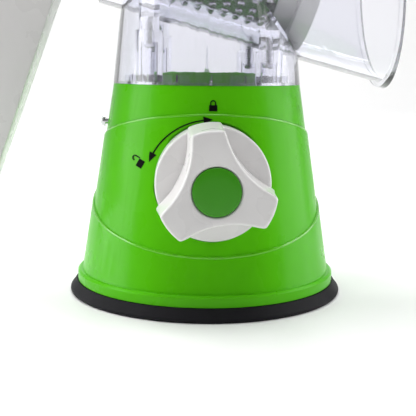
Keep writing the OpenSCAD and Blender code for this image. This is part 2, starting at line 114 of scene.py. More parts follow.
panel("panel_left", (-1.05, 0.12, 0.50), (0, 0, 0.08), width=0.9, height=1.0, power=13.2)
panel("panel_right", (1.05, 0.08, 0.45), (0, 0, 0.08), width=0.9, height=1.0, power=8.5)
panel("panel_top", (-0.1, -0.08, 1.10), (0, 0, 0.1), width=1.2, height=0.4, power=7.5)
panel("panel_back", (0.1, 1.0, 0.9), (0, 0, 0.15), width=1.2, height=0.8, power=1.2)
panel("wall_wash", (0.0, 1.2, 2.6), (0, 3.0, 0.6), width=3.0, height=0.8, power=60)

world = bpy.data.worlds.new("pale_room")
bpy.context.scene.world = world
world.use_nodes = True
room = world.node_tree.nodes["Background"]
room.inputs["Color"].default_value = (1.0, 1.0, 1.0, 1)
room.inputs["Strength"].default_value = ROOM_LIGHT
bpy.context.scene.view_settings.view_transform = "Standard"

# %% [markdown]
# ## Floor
# A plain floor would end in a line behind the grater. A studio hides it with paper that
# curves up the wall, so here one strip runs level, turns up in an arc and goes on as wall.

# %% A floor that sweeps up into a wall
FLOOR_NEAR, SWEEP_START, SWEEP_R, WALL_TOP, HALF_WIDTH = -4.0, 1.6, 1.2, 6.0, 5.0

sweep_line = [(FLOOR_NEAR, 0.0), (SWEEP_START, 0.0)]
for degrees in range(6, 91, 6):
    turn = math.radians(degrees)
    sweep_line.append((SWEEP_START + SWEEP_R * math.sin(turn), SWEEP_R * (1 - math.cos(turn))))
sweep_line.append((SWEEP_START + SWEEP_R, WALL_TOP))
floor_points = [(x, y, z) for y, z in sweep_line for x in (-HALF_WIDTH, HALF_WIDTH)]
floor_faces = [(2 * i, 2 * i + 1, 2 * i + 3, 2 * i + 2) for i in range(len(sweep_line) - 1)]
floor_mesh = bpy.data.meshes.new("floor")
floor_mesh.from_pydata(floor_points, [], floor_faces)
floor_mesh.polygons.foreach_set("use_smooth", [True] * len(floor_mesh.polygons))
floor = bpy.data.objects.new("floor", floor_mesh)
bpy.context.scene.collection.objects.link(floor)
print("floor strips:", len(floor_faces))

# %% [markdown]
# ## Shared effects
# Moulded plastic is never perfectly even: its gloss wanders, its skin has a faint
# waviness, and its colour drifts a little. Each effect is a shader node group, so every
# finish can set how strong it is. They all start from the same soft noise, read on Object
# coordinates, because every piece sits at the origin and nothing then slides.

# %% What every effect starts from
FLOAT, COLOR = "NodeSocketFloat", "NodeSocketColor"


def group(name, inputs, output, kind):
    """An empty shader group: inputs are (name, type, default), and there is one output."""
    tree = bpy.data.node_groups.new(name, "ShaderNodeTree")
    for label, input_kind, value in inputs:
        sock = tree.interface.new_socket(name=label, in_out="INPUT", socket_type=input_kind)
        sock.default_value = value
    tree.interface.new_socket(name=output, in_out="OUTPUT", socket_type=kind)
    return tree, tree.nodes.new("NodeGroupInput"), tree.nodes.new("NodeGroupOutput")


def soft_noise(tree, given, detail):
    """Noise at the group's Scale, and the socket with its value."""
    coord = tree.nodes.new("ShaderNodeTexCoord")
    noise = tree.nodes.new("ShaderNodeTexNoise")
    noise.inputs["Detail"].default_value = detail
    tree.links.new(coord.outputs["Object"], noise.inputs["Vector"])
    tree.links.new(given.outputs["Scale"], noise.inputs["Scale"])
    return noise.outputs["Fac"]


print("sockets:", FLOAT, COLOR)

# %% [markdown]
# The gloss group gives a roughness that drifts between a low and a high value. Noise
# seldom comes near 0 or 1, so only its middle is stretched over that range.

# %% Gloss that wanders
NOISE_LOW, NOISE_HIGH = 0.35, 0.65

wander, given, result = group(
    "gloss_wander", [("Scale", FLOAT, 60), ("Low", FLOAT, 0.1), ("High", FLOAT, 0.2)], "Roughness", FLOAT)
spread = wander.nodes.new("ShaderNodeMapRange")
spread.inputs["From Min"].default_value = NOISE_LOW
spread.inputs["From Max"].default_value = NOISE_HIGH
wander.links.new(soft_noise(wander, given, 3), spread.inputs["Value"])
wander.links.new(given.outputs["Low"], spread.inputs["To Min"])
wander.links.new(given.outputs["High"], spread.inputs["To Max"])
wander.links.new(spread.outputs["Result"], result.inputs["Roughness"])
print("made", wander.name)

# %% [markdown]
# The skin group gives a height for a Bump node: noise times a depth. The tint group
# mixes a lighter and a deeper shade of one colour, as pigment does in a moulding.

# %% Wavy skin, and a tint that drifts
skin, given, result = group("wavy_skin", [("Scale", FLOAT, 300), ("Depth", FLOAT, 0.2)], "Height", FLOAT)
times = skin.nodes.new("ShaderNodeMath")
times.operation = "MULTIPLY"
skin.links.new(soft_noise(skin, given, 2), times.inputs[0])
skin.links.new(given.outputs["Depth"], times.inputs[1])
skin.links.new(times.outputs[0], result.inputs["Height"])

tint, given, result = group(
    "tint_drift", [("Scale", FLOAT, 20), ("Light", COLOR, (1, 1, 1, 1)), ("Deep", COLOR, (0, 0, 0, 1))],
    "Color", COLOR)
shades = tint.nodes.new("ShaderNodeMix")
shades.data_type = "RGBA"
shade_a, shade_b, shade_out = shades.inputs[6], shades.inputs[7], shades.outputs[2]
tint.links.new(soft_noise(tint, given, 1), shades.inputs["Factor"])
tint.links.new(given.outputs["Light"], shade_a)
tint.links.new(given.outputs["Deep"], shade_b)
tint.links.new(shade_out, result.inputs["Color"])
print("groups:", [g.name for g in bpy.data.node_groups])

# %% [markdown]
# ## Finishes
# One function lays out a finish: colour from the tint group, roughness from the gloss
# group, and a bump from the skin group, all into one Principled shader. What is the same
# all over, such as metal or a clear coat, is set on the shader's own sockets.

# %% A function that makes a finish
TINT_SCALE = 18


def finish_of(name, light, deep, low, high, gloss_scale=60, skin_scale=400, skin_depth=0.1, bump_mm=0.05,
              **fixed):
    """A finish from two shades and a range of roughness; fixed holds the shader's own values."""
    mat = bpy.data.materials.new(name)
    mat.use_nodes = True
    tree = mat.node_tree
    shader = tree.nodes["Principled BSDF"]

    def place(shared, values):
        node = tree.nodes.new("ShaderNodeGroup")
        node.node_tree = shared
        for label, value in values.items():
            node.inputs[label].default_value = value
        return node

    colour = place(tint, {"Scale": TINT_SCALE, "Light": (*light, 1), "Deep": (*deep, 1)})
    tree.links.new(colour.outputs["Color"], shader.inputs["Base Color"])
    rough = place(wander, {"Scale": gloss_scale, "Low": low, "High": high})
    tree.links.new(rough.outputs["Roughness"], shader.inputs["Roughness"])
    if skin_depth:
        waves = place(skin, {"Scale": skin_scale, "Depth": skin_depth})
        bump = tree.nodes.new("ShaderNodeBump")
        bump.inputs["Distance"].default_value = bump_mm * MM
        tree.links.new(waves.outputs["Height"], bump.inputs["Height"])
        tree.links.new(bump.outputs["Normal"], shader.inputs["Normal"])
    for label, value in fixed.items():
        shader.inputs[label.replace("_", " ")].default_value = value
    return mat


for old in list(bpy.data.materials):
    bpy.data.materials.remove(old)
print("each finish drifts at scale", TINT_SCALE)

# %% [markdown]
# The base is a deep, even green under a thin gloss. The beads along its raised edges are glossier, which is real,
# and a lighter, whiter green, which is a painted highlight along each edge. The caps are a darker green. The white
# plastic is warm and slightly glossy.

# %% Green and white plastic
green_gloss = finish_of(
    "green_gloss", (0.092, 0.500, 0.003), (0.080, 0.470, 0.002), 0.26, 0.34,
    Specular_IOR_Level=0.10, Coat_Weight=0.05, Coat_Roughness=0.05)
# The beads' finish: glossier, and a lighter green that is a painted highlight along the panel edges.
green_edge = finish_of(
    "green_edge", (0.120, 0.520, 0.012), (0.110, 0.490, 0.010), 0.12, 0.20, skin_depth=0,
    Coat_Weight=0.6, Coat_Roughness=0.08)
green_cap = finish_of(
    "green_cap", (0.045, 0.29, 0.006), (0.038, 0.26, 0.005), 0.26, 0.34,
    Specular_IOR_Level=0.25, Coat_Weight=0.05)
white_plastic = finish_of(
    "white_plastic", (0.745, 0.732, 0.728), (0.718, 0.706, 0.703), 0.24, 0.34, Coat_Weight=0.15)
grey_plastic = finish_of("grey_plastic", (0.32, 0.32, 0.33), (0.28, 0.28, 0.29), 0.4, 0.5)
print("plastics:", len(bpy.data.materials))

# %% [markdown]
# Rubber has a fine grain and almost no gloss. Steel is plain metal, polished brighter on the drum; the drum's
# steel also has a green cast, which is a painted reflection of the green base. The clear plastic is nearly all
# transmission. Its walls are thin, and with a real refraction they would show the room bent and dark, so it bends
# light only a little and a clear coat gives back the gloss.

# %% Rubber, steel, ink, floor and clear plastic
black_rubber = finish_of(
    "black_rubber", (0.018, 0.017, 0.020), (0.010, 0.010, 0.012), 0.50, 0.64,
    skin_scale=900, skin_depth=0.5, bump_mm=0.12, Specular_IOR_Level=0.08)
steel = finish_of(
    "steel", (0.72, 0.72, 0.74), (0.62, 0.62, 0.64), 0.16, 0.30, skin_depth=0.15, Metallic=1.0)
# The drum's steel has a green cast: a painted reflection of the green base.
drum_steel = finish_of(
    "drum_steel", (0.62, 0.68, 0.64), (0.55, 0.62, 0.57), 0.10, 0.20, gloss_scale=120, Metallic=1.0)
marking_ink = finish_of(
    "marking_ink", (0.005, 0.005, 0.005), (0.004, 0.004, 0.004), 0.60, 0.70, skin_depth=0,
    Specular_IOR_Level=0.05)
floor_paint = finish_of("floor_paint", (0.92, 0.92, 0.92), (0.91, 0.91, 0.91), 0.5, 0.6, skin_depth=0)
clear_plastic = finish_of(
    "clear_plastic", (0.94, 0.94, 0.985), (0.93, 0.935, 0.98), 0.0, 0.0, skin_depth=0,
    Transmission_Weight=0.96, IOR=1.10, Coat_Weight=0.6, Coat_Roughness=0.02)
floor.data.materials.append(floor_paint)
print("finishes:", len(bpy.data.materials))

# %% [markdown]
# Every solid part names the slot that its finish goes in. Here each part gets it, so
# that one which keeps its own shape, such as the housing, is finished too.

# %% Give every solid part its finish
SLOTS = {m.name: m for m in (green_gloss, green_cap, white_plastic, grey_plastic,
                             clear_plastic, black_rubber, steel, drum_steel)}
slot_of = {s["node"]: s["material_slot"] for s in frame["record"]["subparts"]}
for name, part in nodes.items():
    part.data.materials.clear()
    part.data.materials.append(SLOTS[slot_of[name]])
print("painted", len(nodes), "parts")

# %% [markdown]
# ## Making pieces
# Every new piece is a plain mesh in the shared frame, whose object stays at the origin.
# `piece` turns points and faces into an object, makes the faces point outwards, and
# shades it smooth except at real edges. Then the piece is told which body it rides on.

# %% Helpers for pieces
WELD, ON_AXIS = 1e-6, 1e-9


def shade(mesh, smooth_angle):
    """Smooth shading, with edges sharper than the angle kept sharp."""
    mesh.polygons.foreach_set("use_smooth", [True] * len(mesh.polygons))
    mesh.set_sharp_from_angle(angle=math.radians(smooth_angle))


def tidy(mesh, smooth_angle):
    """Welds doubles, turns faces outwards and shades the mesh."""
    bm = bmesh.new()
    bm.from_mesh(mesh)
    bmesh.ops.remove_doubles(bm, verts=bm.verts, dist=WELD)
    bmesh.ops.recalc_face_normals(bm, faces=bm.faces)
    bm.to_mesh(mesh)
    bm.free()
    shade(mesh, smooth_angle)
    mesh.update()


def mesh_from(name, points, faces=()):
    mesh = bpy.data.meshes.new(name)
    mesh.from_pydata([tuple(p) for p in points], [], faces)
    return mesh


def in_scene(name, mesh):
    thing = bpy.data.objects.new(name, mesh)
    bpy.context.scene.collection.objects.link(thing)
    return thing


def place_piece(name, mesh, body, finish, slot=None, instead_of=()):
    """Puts a finished mesh in the scene, riding on a body, and hides the parts it stands for."""
    thing = in_scene(name, mesh)
    mesh.materials.clear()
    mesh.materials.append(finish)
    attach(thing, body)
    if instead_of:
        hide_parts(*instead_of)
    return thing


def piece(name, points, faces, body, finish, slot=None, instead_of=(), smooth_angle=35):
    """A piece from points and faces."""
    mesh = mesh_from(name, points, faces)
    tidy(mesh, smooth_angle)
    return place_piece(name, mesh, body, finish, slot, instead_of)


print("points weld within", WELD / MM, "mm")

# %% [markdown]
# Round parts are turned, as on a lathe: a profile of radius and height is spun round Z.
# A point on the axis closes the end there. The Spin tool could do it too, but a loop
# leaves no doubled seam to weld. `arc` gives the profile its round corners.

# %% Turning a profile
def around(r, z, i, steps):
    """Point i of a ring of steps points."""
    turn = 2 * math.pi * i / steps
    return Vector((r * math.cos(turn), r * math.sin(turn), z))


def lathe(profile, turns=96, closed=True):
    """Points and faces of a turned profile; closed joins its last point to its first."""
    points, faces, rows = [], [], []
    for r, z in profile:
        if r < ON_AXIS:
            rows.append([len(points)] * turns)
            points.append(Vector((0, 0, z)))
        else:
            rows.append(list(range(len(points), len(points) + turns)))
            points += [around(r, z, i, turns) for i in range(turns)]
    pairs = list(zip(rows, rows[1:])) + ([(rows[-1], rows[0])] if closed else [])
    for low, high in pairs:
        for i in range(turns):
            j = (i + 1) % turns
            corners = list(dict.fromkeys([low[i], low[j], high[j], high[i]]))
            if len(corners) > 2:
                faces.append(corners)
    return points, faces


def turned(name, profile, body, finish, place=Matrix(), turns=96, closed=True, **rest):
    """A turned piece, with its axis moved to a place."""
    points, faces = lathe(profile, turns, closed)
    return piece(name, [place @ p for p in points], faces, body, finish, **rest)


def arc(cx, cz, r, a0, a1, steps=6):
    """Points of a circular arc in a profile, angles in degrees."""
    points = []
    for i in range(steps + 1):
        turn = math.radians(a0 + (a1 - a0) * i / steps)
        points.append((cx + r * math.cos(turn), cz + r * math.sin(turn)))
    return points


print("quarter arc:", [(round(x, 2), round(z, 2)) for x, z in arc(0, 0, 1, 0, 90, 2)])

# %% [markdown]
# The drum and the crank turn on one tilted axis, and the knob on a level one. Both come
# from the frame's joints. A piece is made upright and then laid along one of them.

# %% The two axes
AXIS = Vector(joints["crank_turn"]["axis"])
AXIS_AT = Vector(joints["crank_turn"]["pos_m"])
TILT = math.atan2(-AXIS.z, AXIS.x)
KNOB_AT = Vector(joints["lock_knob_turn"]["pos_m"])


def on_axis(s=0.0, r=0.0):
    """The frame of the drum's axis, s along it: Z runs to the mouth and X points down."""
    lay = Matrix.Rotation(math.pi / 2 + TILT, 4, "Y")
    return Matrix.Translation(AXIS_AT) @ lay @ Matrix.Translation((r, 0, s))


def on_knob(y):
    """The frame of the knob's axis at depth y: Z points out of the front."""
    return Matrix.Translation((0, y, KNOB_AT.z)) @ Matrix.Rotation(math.pi / 2, 4, "X")


print("axis tilt", round(math.degrees(TILT), 2), "knob at", round(KNOB_AT.z, 4))

# %% [markdown]
# Moulded and cast parts have no knife edges. Where a solid part's shape is right, a copy
# of it gets a Bevel modifier, which rounds only edges above an angle. The copy is welded
# and its flat areas are joined first, because a bevel can't run along loose triangles.

# %% Rounding a solid part's edges
CAD_WELD, ROUND_SHARP = 2e-6, 28


def body_of(node):
    return next(b for b, members in frame["record"]["behaviour"]["bodies"].items() if node in members)


def softened(node, width_mm, name=None, segments=3, limit=32, flat=1.0):
    """A copy of a solid part with its sharp edges rounded, which stands for it."""
    bm = bmesh.new()
    bm.from_mesh(nodes[node].data)
    bmesh.ops.remove_doubles(bm, verts=bm.verts, dist=CAD_WELD)
    bmesh.ops.dissolve_limit(bm, angle_limit=math.radians(flat), verts=bm.verts, edges=bm.edges)
    copy = bpy.data.meshes.new("copy")
    bm.to_mesh(copy)
    bm.free()
    carrier = in_scene("carrier", copy)
    bevel = carrier.modifiers.new("round", "BEVEL")
    bevel.width, bevel.segments = width_mm * MM, segments
    bevel.limit_method, bevel.angle_limit = "ANGLE", math.radians(limit)
    bevel.use_clamp_overlap = True
    bevel.miter_outer = "MITER_ARC"
    seen = carrier.evaluated_get(bpy.context.evaluated_depsgraph_get())
    result = bpy.data.meshes.new_from_object(seen)
    result.name = name or node + "_moulded"
    bpy.data.objects.remove(carrier)
    bpy.data.meshes.remove(copy)
    shade(result, ROUND_SHARP)
    slot = slot_of[node]
    return place_piece(result.name, result, body_of(node), SLOTS[slot], slot, [node])


# %% [markdown]
# ## Geometry Nodes for what repeats
# Two trees place copies of a small piece: one in rows round an axis, for the drum's
# teeth and for ribs, and one on given points, for screws. Their sizes are named inputs,
# and both end in real geometry with its finish set.

# %% What both trees share
INT, VECTOR, GEOMETRY = "NodeSocketInt", "NodeSocketVector", "NodeSocketGeometry"
COMMON = [("Piece", "NodeSocketObject", None), ("Turn", VECTOR, None), ("Move", VECTOR, None),
          ("Finish", "NodeSocketMaterial", None)]


def copies_tree(name, sockets):
    """An empty Geometry Nodes tree with named inputs: (name, type, default)."""
    tree = bpy.data.node_groups.new(name, "GeometryNodeTree")
    for label, kind, value in sockets:
        sock = tree.interface.new_socket(name=label, in_out="INPUT", socket_type=kind)
        if value is not None:
            sock.default_value = value
    tree.interface.new_socket(name="Geometry", in_out="OUTPUT", socket_type=GEOMETRY)
    return tree, tree.nodes.new("NodeGroupInput"), tree.nodes.new("NodeGroupOutput")


def copies_of(tree, given, points, turn=None):
    """Copies of the Piece on points, turned, moved, made real and given their finish."""
    info = tree.nodes.new("GeometryNodeObjectInfo")
    tree.links.new(given.outputs["Piece"], info.inputs["Object"])
    copies = tree.nodes.new("GeometryNodeInstanceOnPoints")
    tree.links.new(points, copies.inputs["Points"])
    tree.links.new(info.outputs["Geometry"], copies.inputs["Instance"])
    if turn:
        tree.links.new(turn, copies.inputs["Rotation"])
    lay = tree.nodes.new("GeometryNodeTransform")
    tree.links.new(copies.outputs[0], lay.inputs["Geometry"])
    tree.links.new(given.outputs["Turn"], lay.inputs["Rotation"])
    tree.links.new(given.outputs["Move"], lay.inputs["Translation"])
    real = tree.nodes.new("GeometryNodeRealizeInstances")
    tree.links.new(lay.outputs[0], real.inputs[0])
    paint = tree.nodes.new("GeometryNodeSetMaterial")
    tree.links.new(real.outputs[0], paint.inputs["Geometry"])
    tree.links.new(given.outputs["Finish"], paint.inputs["Material"])
    return paint.outputs[0]


points_tree, given, result = copies_tree("copies_on_points", [("Points", GEOMETRY, None)] + COMMON)
points_tree.links.new(copies_of(points_tree, given, given.outputs["Points"]), result.inputs[0])
print("made", points_tree.name)

# %% [markdown]
# The rows tree numbers its points from 0. A point's row is its number divided by the
# copies round, with the rest dropped. Every second row is shifted by the Stagger, and the
# angle, in turns of a full circle, gives the point's place and the way it faces.

# %% Rows round an axis
rows_tree, given, result = copies_tree("rows_round_an_axis", COMMON + [
    ("Rows", INT, 1), ("Around", INT, 12), ("Radius", FLOAT, 0.03), ("Start", FLOAT, 0.0),
    ("Pitch", FLOAT, 0.01), ("Stagger", FLOAT, 0.5)])


def maths(operation, a, b=None):
    """A maths node in the rows tree, on values or sockets, and its output."""
    node = rows_tree.nodes.new("ShaderNodeMath")
    node.operation = operation
    for socket, value in zip(node.inputs, (a, b)):
        if isinstance(value, (int, float)):
            socket.default_value = value
        elif value is not None:
            rows_tree.links.new(value, socket)
    return node.outputs[0]


dots = rows_tree.nodes.new("GeometryNodePoints")
rows_tree.links.new(maths("MULTIPLY", given.outputs["Rows"], given.outputs["Around"]), dots.inputs["Count"])
index = rows_tree.nodes.new("GeometryNodeInputIndex").outputs[0]
row = maths("FLOOR", maths("DIVIDE", index, given.outputs["Around"]))
shift = maths("MULTIPLY", maths("MODULO", row, 2.0), given.outputs["Stagger"])
full_turns = maths("MULTIPLY", maths("ADD", index, shift), 2 * math.pi)
angle = maths("DIVIDE", full_turns, given.outputs["Around"])

where = rows_tree.nodes.new("ShaderNodeCombineXYZ")
rows_tree.links.new(maths("MULTIPLY", maths("COSINE", angle), given.outputs["Radius"]), where.inputs["X"])
rows_tree.links.new(maths("MULTIPLY", maths("SINE", angle), given.outputs["Radius"]), where.inputs["Y"])
height = maths("ADD", maths("MULTIPLY", row, given.outputs["Pitch"]), given.outputs["Start"])
rows_tree.links.new(height, where.inputs["Z"])
spin = rows_tree.nodes.new("ShaderNodeCombineXYZ")
rows_tree.links.new(angle, spin.inputs["Z"])
put = rows_tree.nodes.new("GeometryNodeSetPosition")
rows_tree.links.new(dots.outputs[0], put.inputs["Geometry"])
rows_tree.links.new(where.outputs[0], put.inputs["Position"])
rows_tree.links.new(copies_of(rows_tree, given, put.outputs[0], spin.outputs[0]), result.inputs[0])
print("made", rows_tree.name, "with", len(rows_tree.nodes), "nodes")

# %% [markdown]
# `grow` runs a tree as a modifier on a carrier mesh, whose points are the given spots. It
# sets the inputs by their identifiers, keeps the plain mesh that comes out, and removes
# the carrier and the pattern.

# %% Running a tree
DRUM_TURN = (0.0, math.pi / 2 + TILT, 0.0)
STILL = {"Turn": (0.0, 0.0, 0.0), "Move": (0.0, 0.0, 0.0)}


def grow(name, tree, template, values, body, finish, spots=(), smooth_angle=35, **rest):
    """A piece made of copies of a template, (points, faces), by a tree."""
    carrier = in_scene("carrier", mesh_from("spots", spots))
    pattern = in_scene("pattern", mesh_from("pattern", *template))
    tidy(pattern.data, smooth_angle)
    run = carrier.modifiers.new("copies", "NODES")
    run.node_group = tree
    sockets = {i.name: i.identifier for i in tree.interface.items_tree if i.in_out == "INPUT"}
    for label, value in {"Piece": pattern, "Finish": finish, **values}.items():
        run[sockets[label]] = value
    bpy.context.view_layer.update()
    seen = carrier.evaluated_get(bpy.context.evaluated_depsgraph_get())
    mesh = bpy.data.meshes.new_from_object(seen)
    mesh.name = name
    bpy.data.objects.remove(carrier)
    bpy.data.objects.remove(pattern)
    shade(mesh, smooth_angle)
    print(name, "has", len(mesh.polygons), "faces")
    return place_piece(name, mesh, body, finish, **rest)


print("drum turned by", [round(math.degrees(a), 1) for a in DRUM_TURN])

# %% [markdown]
# ## The base shell
# A cone in gloss plastic with two raised panels, whose edges sweep up and down round the
# knob. The solid already has those steps, so only its edges are rounded here: a small
# radius on a step is what catches the thin line of light along it.

# %% Base shell and the parts inside it
softened("base_shell", 0.85, "base_moulding", segments=4, limit=20)
for inner, width in (("base_plate", 0.4), ("suction_stem", 0.4), ("lift_cam", 0.3), ("stem_disc", 0.4)):
    softened(inner, width)

# %% [markdown]
# Along the top of each raised panel runs a fine rounded bead, as moulded covers have.
# It is a thin round section swept along the line where a slanted plane cuts the cone.
# At an angle round the base, the plane and the cone give two equations for the height,
# and the bead is set there, sunk into the surface for most of its width.

# %% Beads along the panel edges
BASE_TOP_Z, BASE_TOP_R, BASE_SLOPE, STEP = 0.101, 0.0452, 0.15, 0.0009
# Each panel's upper edge: its height at the sides, its slope to the back, its steps out.
PANELS = ((0.0756, -math.tan(math.radians(15.4)), 1), (0.0454, math.tan(math.radians(17.4)), 2))
BEAD_R, BEAD_IN, BEAD_DOWN, BEAD_TURNS, BEAD_SIDES = 0.00062, 0.72, 0.78, 288, 12


def cone_r(z, steps=0):
    """The radius of the base at a height, with a number of panel steps added."""
    return BASE_TOP_R + (BASE_TOP_Z - z) * BASE_SLOPE + steps * STEP


def panel_bead(line_z, rise, steps):
    """A closed ring of round section where the plane z = line_z + rise * y meets the cone."""
    points, faces = [], []
    for k in range(BEAD_TURNS):
        turn = 2 * math.pi * k / BEAD_TURNS
        lean = rise * math.sin(turn)
        z = (line_z + lean * cone_r(0, steps)) / (1 + lean * BASE_SLOPE)
        for j in range(BEAD_SIDES):
            side = 2 * math.pi * j / BEAD_SIDES
            reach = cone_r(z, steps) + BEAD_R * (math.cos(side) - BEAD_IN)
            points.append((reach * math.cos(turn), reach * math.sin(turn),
                           z + BEAD_R * (math.sin(side) - BEAD_DOWN)))
            ahead, across = ((k + 1) % BEAD_TURNS) * BEAD_SIDES, (j + 1) % BEAD_SIDES
            faces.append((k * BEAD_SIDES + j, ahead + j, ahead + across, k * BEAD_SIDES + across))
    return points, faces


# Each bead wears the lighter green: a painted highlight along its panel edge.
for n, edge in enumerate(PANELS, 1):
    piece("panel_bead_%d" % n, *panel_bead(*edge), "base", green_edge, slot="green_gloss")
print("bead:", BEAD_R / MM, "mm radius")

# %% [markdown]
# ## The suction foot
# A rubber skirt with a round bead at the table, and sides that lean in to the green
# flange above. It is turned from one profile: a round shape needs nothing else.

# %% Foot
foot_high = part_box("suction_foot")[1]
FOOT_R, FOOT_TOP = foot_high.x, foot_high.z
FOOT_BEAD, FOOT_IN = 1.3 * MM, 0.0545

foot_profile = [(FOOT_IN, 0.0002), (0.0600, 0.0), (FOOT_R - FOOT_BEAD, 0.0)]
foot_profile += arc(FOOT_R - FOOT_BEAD, FOOT_BEAD, FOOT_BEAD, -80, 40, 8)
foot_profile += [(FOOT_R - inset, FOOT_TOP - down)
                 for inset, down in ((0.0011, 0.0030), (0.0026, 0.0007), (0.0030, 0.0002))]
foot_profile += [(0.0560, FOOT_TOP - 0.0001), (FOOT_IN, FOOT_TOP - 0.0012)]
turned("foot_skirt", foot_profile, "base", black_rubber, turns=160, instead_of=["suction_foot"])
print("foot radius", round(FOOT_R, 4))

# %% [markdown]
# Inside the skirt is the membrane, a shallow dish that the knob's cam draws up to hold the grater down. When the
# knob is released the dish flattens. Here it is turned as the drawn-up dish and given a mesh of its own.

# %% Membrane
dish = [(0, 0.0042), (0.014, 0.0042), (0.024, 0.0038), (0.040, 0.0024), (0.0538, 0.0010),
        (0.0538, 0.0028), (0.040, 0.0042), (0.024, 0.0056), (0.014, 0.0060), (0, 0.0060)]
membrane = turned("suction_dish", dish, "base", black_rubber, closed=False, instead_of=["suction_membrane"])
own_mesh(membrane)
print("membrane faces:", len(membrane.data.polygons))

# %% [markdown]
# ## The lock knob
# A round dial with a grip of three lobes standing on it. The grip's outline is a circle
# cut by three larger circles, blended with a soft minimum so that its corners are round,
# and it narrows a little towards its face, as a moulded part does to leave its mould.

# %% The grip's outline
LOBES, LOBE_AT = 3, 98.9
LOBE_R, WAIST_R, CUT_R = 0.0246, 0.0137, 0.034
BLEND, OUTLINE_OUT, FAR = 0.0017, 0.0003, 0.06
GRIP_STEPS = 360


def lobe_radius(angle):
    """Radius of the grip's outline at an angle in degrees."""
    third = 360 / LOBES
    off = (angle - LOBE_AT - third / 2) % third
    from_waist = math.radians(min(off, third - off))
    centre = WAIST_R + CUT_R
    inside = CUT_R ** 2 - (centre * math.sin(from_waist)) ** 2
    cut = min(centre * math.cos(from_waist) - math.sqrt(inside), FAR) if inside > 0 else FAR
    return -BLEND * math.log(math.exp(-LOBE_R / BLEND) + math.exp(-cut / BLEND)) + OUTLINE_OUT


def outline(scale, inset):
    """The grip's outline, scaled, and moved inwards along its normals."""
    ring = [around(lobe_radius(360 * i / GRIP_STEPS) * scale, 0, i, GRIP_STEPS) for i in range(GRIP_STEPS)]
    out = []
    for i, p in enumerate(ring):
        along = (ring[(i + 1) % GRIP_STEPS] - ring[i - 1]).normalized()
        out.append(p + Vector((-along.y, along.x, 0)) * inset)
    return out


print("lobe and waist:", round(lobe_radius(LOBE_AT), 4), round(lobe_radius(LOBE_AT + 60), 4))

# %% [markdown]
# The outline is stacked in levels, wide at the dial and rounded over at the face. Smaller
# rings go on inwards from there and down into a shallow seat for the cap.

# %% Grip
knob_low, knob_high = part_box("lock_knob")
DIAL_R, GRIP_FACE, DIAL_BACK = (knob_high.x - knob_low.x) / 2, knob_low.y, knob_high.y
GRIP_DEPTH, EDGE = 0.024, 0.0013
DIAL_FACE = GRIP_FACE + GRIP_DEPTH

# Each level: the outline's scale, how far it is moved in, and its height on the dial.
levels = [(1.07, 0, -0.0005), (1.05, 0, 0.002), (1.02, 0, 0.012), (1.0, 0, GRIP_DEPTH - EDGE - 0.0004)]
for degrees in (20, 40, 60, 80, 90):
    turn = math.radians(degrees)
    levels.append((1.0, EDGE * (1 - math.cos(turn)), GRIP_DEPTH - EDGE + EDGE * math.sin(turn)))
rings = [[p + Vector((0, 0, z)) for p in outline(scale, inset)] for scale, inset, z in levels]
for r, down in ((0.0112, 0), (0.0107, 0.0002), (0.0102, 0.0008), (0.0102, 0.002)):
    rings.append([around(r, GRIP_DEPTH - down, i, GRIP_STEPS) for i in range(GRIP_STEPS)])

grip_points = [p for ring in rings for p in ring]
starts = [n * GRIP_STEPS for n in range(len(rings))]
grip_faces = []
for low, high in zip(starts, starts[1:]):
    for i in range(GRIP_STEPS):
        j = (i + 1) % GRIP_STEPS
        grip_faces.append((low + i, low + j, high + j, high + i))
for start in (starts[0], starts[-1]):
    centre = len(grip_points)
    grip_points.append(Vector((0, 0, grip_points[start].z)))
    grip_faces += [(start + i, start + (i + 1) % GRIP_STEPS, centre) for i in range(GRIP_STEPS)]
piece("knob_grip", [on_knob(DIAL_FACE) @ p for p in grip_points], grip_faces, "knob", white_plastic,
      instead_of=["lock_knob"], smooth_angle=40)
print("grip levels:", len(levels))

# %% [markdown]
# The dial is a cup: a disc with a rounded rim and a skirt behind it. The cap is a low
# dome pressed into the grip's seat.

# %% Dial and cap
DIAL_DEPTH = DIAL_BACK - DIAL_FACE
BORE_R, SLEEVE_R, SKIRT, RIM = 0.0051, 0.0080, 0.0018, 0.0012
CAP_SEAT = 0.0020

dial_profile = [(BORE_R, 0.0), (SLEEVE_R, 0.0), (SLEEVE_R, 0.009), (DIAL_R - SKIRT, 0.0095)]
dial_profile += [(DIAL_R - SKIRT, 0.0), (DIAL_R, 0.0)]
dial_profile += arc(DIAL_R - RIM, DIAL_DEPTH - RIM, RIM, 0, 90) + [(BORE_R, DIAL_DEPTH)]
turned("knob_dial", dial_profile, "knob", white_plastic, on_knob(DIAL_BACK), turns=144)

cap_profile = [(0, 0), (0.0100, 0)] + arc(0.0094, 0.0016, 0.0006, 0, 80, 4) + [(0.006, 0.00235), (0, 0.00245)]
turned("knob_badge", cap_profile, "knob", green_cap, on_knob(GRIP_FACE + CAP_SEAT), closed=False,
       instead_of=["knob_cap"])
print("knob:", round(DIAL_R / MM, 1), "mm dial radius")

# %% [markdown]
# ## The marks round the knob
# A curved arrow with a head at each end, a closed padlock at its top and an open one at
# its lower end. A picture laid on the base would stretch, so each mark is a ribbon of
# short quads that stands a little off the cone and follows its curve.

# %% Ribbons on the base's skin
INK_LIFT, INK_DEPTH = 0.00016, 0.00025
mark_points, mark_faces = [], []


def on_skin(x, z, lift):
    """A point on the front of the base above or below its panel steps, lifted off it."""
    y = -math.sqrt(cone_r(z) ** 2 - x ** 2)
    steps = sum(z < line_z + y * rise for line_z, rise, _ in PANELS)
    radius = cone_r(z, steps) + lift
    across = x * radius / math.hypot(x, y)
    return Vector((across, -math.sqrt(radius ** 2 - across ** 2), z))


